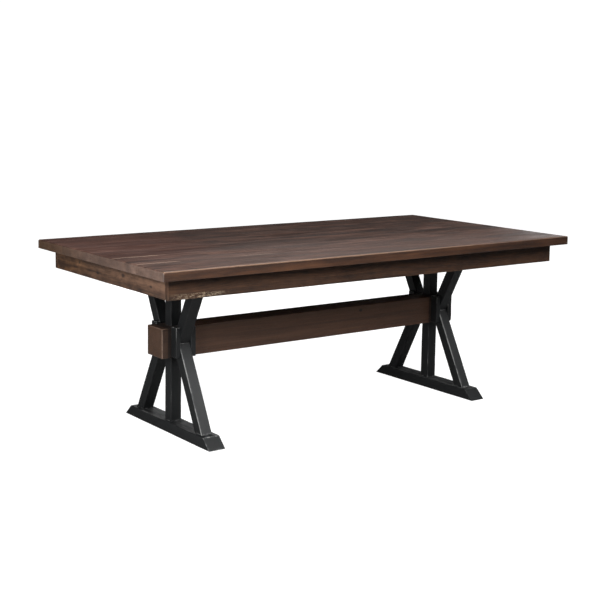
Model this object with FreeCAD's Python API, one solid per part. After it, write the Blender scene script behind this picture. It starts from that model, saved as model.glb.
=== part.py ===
import FreeCAD, Part
import os
import math

# Trestle dining table, millimetres.
# Frame: +X along the table's length, +Y across it, +Z up.
# Origin on the floor, under the centre of the table.

V = FreeCAD.Vector

# ---------------------------------------------------------------- driving dimensions
TABLE_L = 2134.0          # overall length
TABLE_W = 1080.0          # overall width
TABLE_H = 768.0           # overall height
TOP_T = 38.0              # thickness of the solid plank top
CORNER_R = 4.0            # eased vertical corners of the top
ARRIS_TOP = 8.0           # rounded top arris
ARRIS_BOT = 2.5           # eased bottom arris
# glue lines between the random-width planks, front edge to back edge
SEAMS = [-540.0, -445.0, -332.0, -148.0, 36.0, 215.0, 300.0, 440.0, 540.0]
GROOVE = 0.9              # small worn V at each glue line

APRON_T = 22.0
APRON_H = 82.0
APRON_IN_X = 52.0         # how far the end aprons stand in from the end of the top
APRON_IN_Y = 60.0         # how far the long aprons stand in from the side of the top

CLEAT = 20.0              # square glue cleat inside each apron
BLOCK = 46.0              # corner block section
BLOCK_H = 64.0

TRESTLE_X = 713.0         # centre of each trestle from the table's centre
STOCK = 49.5              # posts
BRACE_D = 47.5            # brace depth in the plane of the trestle
BRACE_W = 50.0            # brace width along the table

GLIDE_R = 15.0
GLIDE_OUT = 1.5           # glide stands this far out of the foot
GLIDE_IN = 3.5
GLIDE_Y = 300.0

FOOT_W = 77.0             # foot beam, along the table
FOOT_H = 46.5             # top of the foot above the floor
FOOT_LB = 694.0           # length at the bottom
FOOT_LT = 596.0           # length at the top

BEARER_W = 75.0           # bearer under the top, one on each trestle
BEARER_H = 47.0
BEARER_L = 872.0

STR_W = 122.0             # stretcher section
STR_H = 124.0
STR_Z0 = 325.0            # underside of the stretcher
STR_L = 1603.0            # its ends stand out of both hubs
STR_CH = 5.0              # worn chamfer round each end

CHEEK_T = 22.5            # inner hub cheek, along the table
CHEEK_TO = 20.5           # outer hub cheek, along the table
CHEEK_W = 40.5            # hub cheek, across the table
CHEEK_Z0 = 331.0
CHEEK_H = 125.0

KINK_Z = 387.0            # height where upper and lower braces meet
KINK_Y = 89.2             # outer face of the braces at that height
LEAN = 0.521              # run of a brace per unit of rise

TENON = 27.0
TENON_L = 24.0

EASE = 2.2                # eased long edges of the base timbers

# ---------------------------------------------------------------- derived
HX, HY = TABLE_L / 2.0, TABLE_W / 2.0
UNDER = TABLE_H - TOP_T                      # underside of the top
AX, AY = HX - APRON_IN_X, HY - APRON_IN_Y    # outer faces of the aprons
AZ = UNDER - APRON_H
STR_Z1 = STR_Z0 + STR_H
BEARER_Z = UNDER - BEARER_H
COS = 1.0 / math.sqrt(1.0 + LEAN * LEAN)
BRACE_Y = BRACE_D / COS                      # brace depth measured level
NUDGE = 0.06                                 # clearance of a fastener in its hole

os.makedirs("parts", exist_ok=True)
REPORT = []


# ---------------------------------------------------------------- helpers
def box(x0, x1, y0, y1, z0, z1):
    return Part.makeBox(x1 - x0, y1 - y0, z1 - z0, V(x0, y0, z0))


def cyl(r, p0, p1):
    a = V(*p0)
    d = V(*p1) - a
    return Part.makeCylinder(r, d.Length, a, d)


def prism_yz(pts, x0, x1):
    """Solid of the polygon pts (y, z), between x0 and x1."""
    vs = [V(x0, y, z) for y, z in pts]
    w = Part.makePolygon(vs + [vs[0]])
    return Part.Face(w).extrude(V(x1 - x0, 0, 0))


def ends(e):
    return e.Vertexes[0].Point, e.Vertexes[-1].Point


def ease(s, r, test):
    """Round the straight edges of s whose two end points pass test."""
    es = []
    for e in s.Edges:
        if len(e.Vertexes) < 2:
            continue
        a, b = ends(e)
        if test(a, b):
            es.append(e)
    if not es:
        return s
    try:
        t = s.makeFillet(r, es)
        if t.isValid() and t.Volume > 0.5 * s.Volume:
            return t
    except Exception:
        pass
    REPORT.append("an edge rounding was left off")
    return s


def near(a, b, tol=0.02):
    return abs(a - b) < tol


def along_x(a, b):
    return near(a.y, b.y) and near(a.z, b.z)


def along_z(a, b):
    return near(a.x, b.x) and near(a.y, b.y)


def one(s):
    """The single solid of a boolean result."""
    so = s.Solids
    assert len(so) == 1, len(so)
    return so[0]


def save(name, s):
    assert len(name) < 60
    for so in s.Solids:
        assert so.isValid(), name
    s.exportStep("parts/%s.step" % name)
    REPORT.append("%-30s %2d solid(s) %9.1f cm3" % (name, len(s.Solids), s.Volume / 1000.0))


def group(name, solids):
    save(name, Part.makeCompound(solids))


def screw(head, tip, r_head, h_head, r_shank, sunk=True):
    """Screw as one revolved solid from the head's outer face to its point."""
    a, b = V(*head), V(*tip)
    d = b - a
    L = d.Length
    if sunk:
        prof = [(0, 0), (r_head, 0), (r_head, 0.6), (r_shank, h_head),
                (r_shank, L - 2.2 * r_shank), (0.15, L), (0, L)]
    else:
        prof = [(0, 0), (r_head * 0.86, 0), (r_head, 0.8), (r_head, h_head),
                (r_shank, h_head), (r_shank, L - 2.2 * r_shank), (0.15, L), (0, L)]
    vs = [V(x, 0, z) for x, z in prof]
    f = Part.Face(Part.makePolygon(vs + [vs[0]]))
    s = f.revolve(V(0, 0, 0), V(0, 0, 1), 360)
    if len(s.Solids) == 0:
        s = Part.Solid(s)
    s = s.Solids[0]
    m = FreeCAD.Placement(a, FreeCAD.Rotation(V(0, 0, 1), d))
    s.Placement = m.multiply(s.Placement)
    return s


def pilot(head, tip, r_head, h_head, r_shank, sunk=True):
    """Hole that takes the screw above, its head included."""
    c = NUDGE
    a, b = V(*head), V(*tip)
    d = (b - a).normalize()
    body = Part.makeCylinder(r_shank + c, (b - a).Length, a, d)
    if sunk:
        cone = Part.makeCone(r_head + c + 0.4, r_shank + c, h_head + 0.4, a, d)
        return body.fuse(cone)
    return body.fuse(Part.makeCylinder(r_head + c, h_head, a, d))


# ---------------------------------------------------------------- fasteners
# Each list holds (kind, head point, tip point); the timbers below are drilled for them.
WOOD = (4.6, 4.0, 2.3, True)       # countersunk wood screw
SMALL = (3.8, 3.2, 1.9, True)
LAG = (7.0, 5.0, 3.5, False)       # pan-head lag screw

bearer_screws, batten_screws, cleat_screws, block_screws = [], [], [], []
foot_lags, bearer_lags = [], []
hub_dowels, beam_dowels = [], []

PLANK_Y = [-388.0, -270.0, -56.0, 126.0, 258.0, 370.0]
for s in (-1, 1):
    for y in PLANK_Y:
        bearer_screws.append(((s * TRESTLE_X, y, 700.0), (s * TRESTLE_X, y, 754.0)))
for y in (-388.0, -240.0, -56.0, 126.0, 258.0, 370.0):
    batten_screws.append(((0.0, y, 700.0), (0.0, y, 752.0)))
CX = [-820.0, -500.0, -170.0, 170.0, 500.0, 820.0]
for s in (-1, 1):
    yc = s * (AY - APRON_T - CLEAT / 2)
    for x in CX:
        cleat_screws.append(((x, yc, UNDER - CLEAT), (x, yc, 748.0)))
    xc = s * (AX - APRON_T - CLEAT / 2)
    for y in (-240.0, -56.0, 126.0, 258.0):
        cleat_screws.append(((xc, y, UNDER - CLEAT), (xc, y, 748.0)))
for sx in (-1, 1):
    for sy in (-1, 1):
        xi, yi = sx * (AX - APRON_T), sy * (AY - APRON_T)
        xm, ym = xi - sx * 0.5 * BLOCK, yi - sy * 0.5 * BLOCK
        block_screws.append(((xm, yi - sy * BLOCK, 705.0), (xm, yi + sy * 15.0, 705.0)))
        block_screws.append(((xi - sx * BLOCK, ym, 682.0), (xi + sx * 15.0, ym, 682.0)))
for s in (-1, 1):
    xc = s * TRESTLE_X
    for y, top in ((0.0, 112.0), (-230.0, 92.0), (230.0, 92.0)):
        foot_lags.append(((xc, y, 9.0), (xc, y, top)))
    for y, low in ((0.0, 622.0), (-206.0, 640.0), (206.0, 640.0)):
        bearer_lags.append(((xc, y, 723.0), (xc, y, low)))
    for sy in (-1, 1):
        for z in (355.0, 419.0):
            hub_dowels.append(((xc - 40.0, sy * 80.0, z), (xc + 40.0, sy * 80.0, z)))
    for dx in (-11.0, 11.0):
        beam_dowels.append(((xc + dx, 0.0, STR_Z0 - 25.0), (xc + dx, 0.0, STR_Z0 + 25.0)))
        beam_dowels.append(((xc + dx, 0.0, STR_Z1 - 25.0), (xc + dx, 0.0, STR_Z1 + 25.0)))

HUB_DR, BEAM_DR = 5.0, 5.0


def drill(s, *jobs):
    """Cut every hole of the given fastener lists that meets s."""
    bb = s.BoundBox
    for lst, spec in jobs:
        for a, b in lst:
            lo = [min(a[i], b[i]) - 8 for i in range(3)]
            hi = [max(a[i], b[i]) + 8 for i in range(3)]
            if lo[0] > bb.XMax or hi[0] < bb.XMin or lo[1] > bb.YMax or hi[1] < bb.YMin \
                    or lo[2] > bb.ZMax or hi[2] < bb.ZMin:
                continue
            if isinstance(spec, tuple):
                tool = pilot(a, b, *spec)
            else:
                tool = cyl(spec + NUDGE, a, b)
            s = s.cut(tool)
    return one(s)


# ---------------------------------------------------------------- plank top
slab = box(-HX, HX, -HY, HY, UNDER, TABLE_H)
slab = ease(slab, CORNER_R, along_z)
top_edges = [e for e in slab.Edges if all(near(v.Point.z, TABLE_H) for v in e.Vertexes)]
slab = slab.makeFillet(ARRIS_TOP, top_edges)
low_edges = [e for e in slab.Edges if all(near(v.Point.z, UNDER) for v in e.Vertexes)]
slab = slab.makeFillet(ARRIS_BOT, low_edges)
for y in SEAMS[1:-1]:
    for z, d in ((TABLE_H, -1), (UNDER, 1)):
        slab = slab.cut(prism_yz([(y - GROOVE, z), (y, z + d * GROOVE), (y + GROOVE, z),
                                  (y, z - d * 2.0)], -HX - 5, HX + 5))
for i in range(len(SEAMS) - 1):
    y0, y1 = SEAMS[i], SEAMS[i + 1]
    if i == 0:
        y0 -= 5
    if i == len(SEAMS) - 2:
        y1 += 5
    p = one(slab.common(box(-HX - 5, HX + 5, y0, y1, UNDER - 5, TABLE_H + 5)))
    p = drill(p, (bearer_screws, WOOD), (batten_screws, WOOD), (cleat_screws, SMALL))
    save("top_plank_%d" % (i + 1), p)

# ---------------------------------------------------------------- aprons
for s, name in ((-1, "front_apron"), (1, "back_apron")):
    yo, yi = s * AY, s * (AY - APRON_T)
    p = box(-AX, AX, min(yo, yi), max(yo, yi), AZ, UNDER)
    p = ease(p, 1.8, lambda a, b: near(a.y, yo) and near(b.y, yo)
             and not (near(a.z, UNDER) and near(b.z, UNDER)))
    p = ease(p, 1.2, lambda a, b: along_x(a, b) and near(a.y, yi) and near(a.z, AZ))
    p = drill(p, (block_screws, WOOD))
    save(name, p)
for s, name in ((-1, "left_end_apron"), (1, "right_end_apron")):
    xo, xi = s * AX, s * (AX - APRON_T)
    p = box(min(xo, xi), max(xo, xi), -(AY - APRON_T), AY - APRON_T, AZ, UNDER)
    p = ease(p, 1.8, lambda a, b: near(a.x, xo) and near(b.x, xo) and near(a.z, AZ) and near(b.z, AZ))
    p = drill(p, (block_screws, WOOD))
    save(name, p)

# corner blocks inside the aprons, one edge cut back at 45 degrees
for sx, nx in ((-1, "left"), (1, "right")):
    for sy, ny in ((-1, "front"), (1, "back")):
        x0, y0 = sx * (AX - APRON_T), sy * (AY - APRON_T)
        x1, y1 = x0 - sx * BLOCK, y0 - sy * BLOCK
        c = 10.0
        pts = [(x0, y0), (x1, y0), (x1, y1 + sy * c), (x1 + sx * c, y1), (x0, y1)]
        vs = [V(x, y, UNDER - BLOCK_H) for x, y in pts]
        p = Part.Face(Part.makePolygon(vs + [vs[0]])).extrude(V(0, 0, BLOCK_H))
        p = drill(p, (block_screws, WOOD))
        save("corner_block_%s_%s" % (ny, nx), p)

# glue cleats under the top, inside each apron
CLX = AX - APRON_T - BLOCK
for s, name in ((-1, "front_apron_cleat"), (1, "back_apron_cleat")):
    ya, yb = s * (AY - APRON_T), s * (AY - APRON_T - CLEAT)
    p = box(-CLX, CLX, min(ya, yb), max(ya, yb), UNDER - CLEAT, UNDER)
    p = drill(p, (cleat_screws, SMALL))
    save(name, p)
CLY = AY - APRON_T - BLOCK
for s, name in ((-1, "left_end_cleat"), (1, "right_end_cleat")):
    xa, xb = s * (AX - APRON_T), s * (AX - APRON_T - CLEAT)
    p = box(min(xa, xb), max(xa, xb), -CLY, CLY, UNDER - CLEAT, UNDER)
    p = drill(p, (cleat_screws, SMALL))
    save(name, p)

# batten across the middle of the top
p = box(-30.0, 30.0, -BEARER_L / 2, BEARER_L / 2, 700.0, UNDER)
p = ease(p, 2.0, lambda a, b: near(a.x, b.x) and near(a.z, 700.0) and near(b.z, 700.0))
p = drill(p, (batten_screws, WOOD))
save("centre_batten", p)


# ---------------------------------------------------------------- trestles
def brace(z_end, up):
    """Outline (y, z) of a brace on the +Y side, from its mitre at the hub to z_end."""
    s = 1 if up else -1
    zc = KINK_Z + s * (STR_W / 2 - (KINK_Y - BRACE_Y)) / LEAN
    yo = KINK_Y + LEAN * abs(z_end - KINK_Z)
    return [(STR_W / 2, KINK_Z), (KINK_Y, KINK_Z), (yo, z_end), (yo - BRACE_Y, z_end), (STR_W / 2, zc)]


for sx, side in ((-1, "left"), (1, "right")):
    xc = sx * TRESTLE_X

    # foot beam: longer underneath than on top, mortised for the post, bored for its lag screws
    p = prism_yz([(-FOOT_LB / 2, GLIDE_OUT), (FOOT_LB / 2, GLIDE_OUT),
                  (FOOT_LT / 2, FOOT_H), (-FOOT_LT / 2, FOOT_H)], xc - FOOT_W / 2, xc + FOOT_W / 2)
    p = ease(p, EASE, lambda a, b: near(a.x, b.x))
    p = p.cut(box(xc - TENON / 2, xc + TENON / 2, -TENON / 2, TENON / 2, FOOT_H - TENON_L, FOOT_H + 5))
    for y in (-GLIDE_Y, GLIDE_Y):
        p = p.cut(cyl(GLIDE_R + NUDGE, (xc, y, -5), (xc, y, GLIDE_OUT + GLIDE_IN)))
    for a, b in foot_lags:
        if near(a[0], xc):
            p = p.cut(cyl(8.0, (a[0], a[1], -5), (a[0], a[1], a[2] + 5.0)))
    p = drill(p, (foot_lags, LAG))
    save("%s_foot" % side, p)

    # lower post, foot to stretcher
    h = STOCK / 2
    p = box(xc - h, xc + h, -h, h, FOOT_H, STR_Z0)
    p = ease(p, EASE, along_z)
    p = p.fuse(box(xc - TENON / 2, xc + TENON / 2, -TENON / 2, TENON / 2, FOOT_H - TENON_L, FOOT_H)).removeSplitter()
    p = drill(p, (foot_lags, LAG), (beam_dowels, BEAM_DR))
    save("%s_lower_post" % side, p)

    # upper post, stretcher to bearer
    p = box(xc - h, xc + h, -h, h, STR_Z1, BEARER_Z)
    p = ease(p, EASE, along_z)
    p = p.fuse(box(xc - TENON / 2, xc + TENON / 2, -TENON / 2, TENON / 2, BEARER_Z, BEARER_Z + TENON_L)).removeSplitter()
    p = drill(p, (bearer_lags, LAG), (beam_dowels, BEAM_DR))
    save("%s_upper_post" % side, p)

    # braces, cut level at the foot or bearer and where they meet, and plumb against the stretcher
    for up, word, z_end, lst in ((False, "lower", FOOT_H, foot_lags), (True, "upper", BEARER_Z, bearer_lags)):
        for sy, end in ((-1, "front"), (1, "back")):
            pts = [(sy * y, z) for y, z in brace(z_end, up)]
            p = prism_yz(pts, xc - BRACE_W / 2, xc + BRACE_W / 2)

            def long_edge(a, b):
                return near(a.x, b.x) and abs(a.z - b.z) > 60
            p = ease(p, EASE, long_edge)
            p = drill(p, (lst, LAG), (hub_dowels, HUB_DR))
            save("%s_%s_brace_%s" % (side, word, end), p)

    # hub cheeks, either side of the brace ends and against the stretcher
    for cx, lay in ((-1, "outer" if sx < 0 else "inner"), (1, "inner" if sx < 0 else "outer")):
        t = CHEEK_TO if lay == "outer" else CHEEK_T
        xa, xb = xc + cx * BRACE_W / 2, xc + cx * (BRACE_W / 2 + t)
        for sy, end in ((-1, "front"), (1, "back")):
            ya, yb = sy * STR_W / 2, sy * (STR_W / 2 + CHEEK_W)
            p = box(min(xa, xb), max(xa, xb), min(ya, yb), max(ya, yb), CHEEK_Z0, CHEEK_Z0 + CHEEK_H)
            p = ease(p, EASE, lambda a, b: (near(a.x, xb) and near(b.x, xb)
                                            and not (near(a.y, ya) and near(b.y, ya))))
            p = drill(p, (hub_dowels, HUB_DR))
            save("%s_hub_cheek_%s_%s" % (side, end, lay), p)

    # bearer under the top
    p = box(xc - BEARER_W / 2, xc + BEARER_W / 2, -BEARER_L / 2, BEARER_L / 2, BEARER_Z, UNDER)
    p = ease(p, EASE, lambda a, b: near(a.x, b.x) and near(a.z, BEARER_Z) and near(b.z, BEARER_Z))
    p = p.cut(box(xc - TENON / 2, xc + TENON / 2, -TENON / 2, TENON / 2, BEARER_Z - 5, BEARER_Z + TENON_L))
    for a, b in bearer_lags:
        if near(a[0], xc):
            p = p.cut(cyl(8.0, (a[0], a[1], UNDER + 5), (a[0], a[1], a[2] - 5.0)))
    for a, b in bearer_screws:
        if near(a[0], xc):
            p = p.cut(cyl(5.6, (a[0], a[1], BEARER_Z - 5), (a[0], a[1], a[2])))
    p = drill(p, (bearer_lags, LAG), (bearer_screws, WOOD))
    save("%s_bearer" % side, p)

# ---------------------------------------------------------------- stretcher
SX = STR_L / 2
p = box(-SX, SX, -STR_W / 2, STR_W / 2, STR_Z0, STR_Z1)
p = ease(p, 3.0, along_x)
end_edges = [e for e in p.Edges if all(near(abs(v.Point.x), SX) for v in e.Vertexes)]
try:
    q = p.makeChamfer(STR_CH, end_edges)
    if q.isValid():
        p = q
except Exception:
    REPORT.append("the stretcher's end chamfer was left off")
p = drill(p, (beam_dowels, BEAM_DR))
save("stretcher", p)

# ---------------------------------------------------------------- hardware
group("bearer_screws", [screw(a, b, *WOOD) for a, b in bearer_screws])
group("batten_screws", [screw(a, b, *WOOD) for a, b in batten_screws])
group("cleat_screws", [screw(a, b, *SMALL) for a, b in cleat_screws])
group("corner_block_screws", [screw(a, b, *WOOD) for a, b in block_screws])
group("foot_lag_screws", [screw(a, b, *LAG) for a, b in foot_lags])
group("bearer_lag_screws", [screw(a, b, *LAG) for a, b in bearer_lags])
group("hub_dowels", [cyl(HUB_DR, a, b) for a, b in hub_dowels])
group("stretcher_dowels", [cyl(BEAM_DR, a, b) for a, b in beam_dowels])
glides = []
for sx in (-1, 1):
    for sy in (-1, 1):
        g = cyl(GLIDE_R, (sx * TRESTLE_X, sy * GLIDE_Y, 0), (sx * TRESTLE_X, sy * GLIDE_Y, GLIDE_OUT + GLIDE_IN))
        g = g.makeFillet(0.8, [e for e in g.Edges if all(near(v.Point.z, 0) for v in e.Vertexes) and len(e.Vertexes) > 0 and abs(e.BoundBox.ZMax) < 0.1])
        glides.append(g)
group("floor_glides", glides)

for line in REPORT:
    print(line)
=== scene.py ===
import math

import bmesh
import bpy
import numpy as np
from mathutils import Matrix, Vector


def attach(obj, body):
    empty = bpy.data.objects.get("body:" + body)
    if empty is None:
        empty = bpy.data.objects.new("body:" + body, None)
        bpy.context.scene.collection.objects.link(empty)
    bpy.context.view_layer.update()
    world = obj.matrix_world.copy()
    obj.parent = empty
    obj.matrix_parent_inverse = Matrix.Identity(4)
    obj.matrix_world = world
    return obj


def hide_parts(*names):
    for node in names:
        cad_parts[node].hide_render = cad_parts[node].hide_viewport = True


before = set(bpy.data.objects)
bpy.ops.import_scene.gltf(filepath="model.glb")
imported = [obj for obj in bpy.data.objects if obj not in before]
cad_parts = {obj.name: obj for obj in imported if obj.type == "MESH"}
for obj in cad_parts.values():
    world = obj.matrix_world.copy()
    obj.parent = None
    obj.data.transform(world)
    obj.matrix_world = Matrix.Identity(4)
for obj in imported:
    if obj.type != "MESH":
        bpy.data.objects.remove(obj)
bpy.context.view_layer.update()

SCN = bpy.context.scene
MM = 0.001

# ------------------------------------------------------------------ sizes, in millimetres
HX, HY, TOP_Z, TOP_T = 1067.0, 540.0, 768.0, 38.0
UNDER = TOP_Z - TOP_T
SEAMS = [-540.0, -445.0, -332.0, -148.0, 36.0, 215.0, 300.0, 440.0, 540.0]
CORNER_R, ARRIS_TOP, ARRIS_BOT = 4.0, 8.0, 2.5
AX, AY, APRON_T, APRON_Z = 1015.0, 480.0, 22.0, 648.0
TX = 713.0
FOOT_TOP, FOOT_BOT = 46.5, 1.5
STR_Z0, STR_Z1, STR_HALF_W, STR_HALF_L = 325.0, 449.0, 61.0, 801.5
BEARER_Z = 683.0
KINK_Z, KINK_Y, LEAN = 387.0, 89.2, 0.521
BRACE_D, BRACE_W, POST_H, FOOT_HALF = 47.5, 50.0, 24.75, 38.5
CHEEK_T = {"outer": 20.5, "inner": 22.5}
CHEEK_W, CHEEK_Z0, CHEEK_Z1 = 40.5, 331.0, 456.0
COSL = 1.0 / math.sqrt(1.0 + LEAN * LEAN)

rng = np.random.RandomState(4171)


# ------------------------------------------------------------------ camera
def make_camera():
    az, el, roll = math.radians(-36.25), math.radians(7.11), math.radians(0.83)
    fwd = Vector((-math.sin(az) * math.cos(el), math.cos(az) * math.cos(el), -math.sin(el)))
    right = Vector((math.cos(az), math.sin(az), 0))
    up = right.cross(fwd)
    r = math.cos(roll) * right + math.sin(roll) * up
    u = -math.sin(roll) * right + math.cos(roll) * up
    b = -fwd
    cam = bpy.data.cameras.new("camera")
    ob = bpy.data.objects.new("camera", cam)
    SCN.collection.objects.link(ob)
    ob.matrix_world = Matrix(((r.x, u.x, b.x, -3.19453), (r.y, u.y, b.y, -4.26140),
                              (r.z, u.z, b.z, 1.42601), (0, 0, 0, 1)))
    cam.sensor_width = 36.0
    cam.sensor_fit = "HORIZONTAL"
    cam.lens = 72.372
    cam.shift_y = -0.10195
    cam.clip_start, cam.clip_end = 0.1, 200.0
    SCN.camera = ob


make_camera()


# ------------------------------------------------------------------ smooth noise in numpy
def waves(seed, n=7):
    r = np.random.RandomState(seed)
    d = r.normal(size=(n, 3))
    d /= np.linalg.norm(d, axis=1)[:, None]
    return d, r.uniform(0.55, 1.8, n), r.uniform(0, 2 * math.pi, n)


def noise3(p, size, seed):
    """Smooth values about -1..1 at points p (N, 3); size is the feature size along each axis, mm."""
    d, k, ph = waves(seed)
    q = p / np.asarray(size, float)
    v = np.zeros(len(p))
    for i in range(len(k)):
        v += np.sin((q @ d[i]) * k[i] * 2.4 + ph[i])
    return np.clip(v / 2.6, -1.0, 1.0)


def soft(x, lo, hi):
    t = np.clip((x - lo) / (hi - lo), 0, 1)
    return t * t * (3 - 2 * t)


# ------------------------------------------------------------------ board maker
def samples(lo, hi, step, r_lo, r_hi, seg=3, extra=(), add=()):
    """Positions on an axis from lo to hi, close together in the arris at each end."""
    g = list(add)

    def arris(r):
        if r <= 0:
            return [0.0]
        t = [r * (1 - math.tan(math.radians(45.0 * k / seg))) for k in range(seg, -1, -1)]
        return t + [r + min(1.0, 0.4 * r)]
    a, b = arris(r_lo), arris(r_hi)
    g += [lo + t for t in a] + [hi - t for t in b]
    x0, x1 = lo + a[-1], hi - b[-1]
    n = max(1, int(round((x1 - x0) / step)))
    g += list(np.linspace(x0, x1, n + 1))
    g += [e for e in extra if x0 < e < x1]
    g = sorted(g)
    out = [g[0]]
    for v in g[1:]:
        if v - out[-1] > 0.02:
            out.append(v)
    out[-1] = hi
    return np.array(out)


def shell(ga, gb, gs):
    """Closed grid over the surface of the box of sample positions. Returns points (a, b, s) and quads."""
    na, nb, ns = len(ga), len(gb), len(gs)
    idx = -np.ones((na, nb, ns), int)
    surf = np.zeros((na, nb, ns), bool)
    surf[[0, -1]] = True
    surf[:, [0, -1]] = True
    surf[:, :, [0, -1]] = True
    idx[surf] = np.arange(surf.sum())
    A, B, S = np.meshgrid(ga, gb, gs, indexing="ij")
    pts = np.stack([A[surf], B[surf], S[surf]], 1)
    quads = []

    def face(i00, i10, i11, i01, flip):
        q = np.stack([i00.ravel(), i10.ravel(), i11.ravel(), i01.ravel()], 1)
        quads.append(q[:, ::-1] if flip else q)
    for k, flip in ((0, True), (-1, False)):
        t = idx[k]
        face(t[:-1, :-1], t[1:, :-1], t[1:, 1:], t[:-1, 1:], flip)
        t = idx[:, k]
        face(t[:-1, :-1], t[1:, :-1], t[1:, 1:], t[:-1, 1:], not flip)
        t = idx[:, :, k]
        face(t[:-1, :-1], t[1:, :-1], t[1:, 1:], t[:-1, 1:], flip)
    return pts, np.concatenate(quads)


def round2(d1, d2, r):
    """Pulls points in a square corner (distances d1, d2 in from its faces) onto an arc of radius r."""
    u, v = r - d1, r - d2
    h = np.hypot(np.maximum(u, 0), np.maximum(v, 0))
    m = (u > 0) & (v > 0) & (h > r)
    k = np.where(m, r / np.maximum(h, 1e-9), 1.0)
    return np.where(m, r - u * k, d1), np.where(m, r - v * k, d2)


def mesh_object(name, pts, quads):
    me = bpy.data.meshes.new(name)
    me.vertices.add(len(pts))
    me.vertices.foreach_set("co", np.asarray(pts, np.float32).ravel())
    me.loops.add(quads.size)
    me.loops.foreach_set("vertex_index", quads.astype(np.int32).ravel())
    me.polygons.add(len(quads))
    me.polygons.foreach_set("loop_start", np.arange(0, quads.size, 4, dtype=np.int32))
    me.polygons.foreach_set("loop_total", np.full(len(quads), 4, np.int32))
    me.update(calc_edges=True)
    me.validate()
    bm = bmesh.new()
    bm.from_mesh(me)
    bmesh.ops.recalc_face_normals(bm, faces=bm.faces)
    bm.to_mesh(me)
    bm.free()
    ob = bpy.data.objects.new(name, me)
    SCN.collection.objects.link(ob)
    return ob


def attribute(me, name, kind, values):
    at = me.attributes.get(name) or me.attributes.new(name, kind, "POINT")
    at.data.foreach_set("vector" if kind == "FLOAT_VECTOR" else "value",
                        np.asarray(values, np.float32).ravel())


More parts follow.
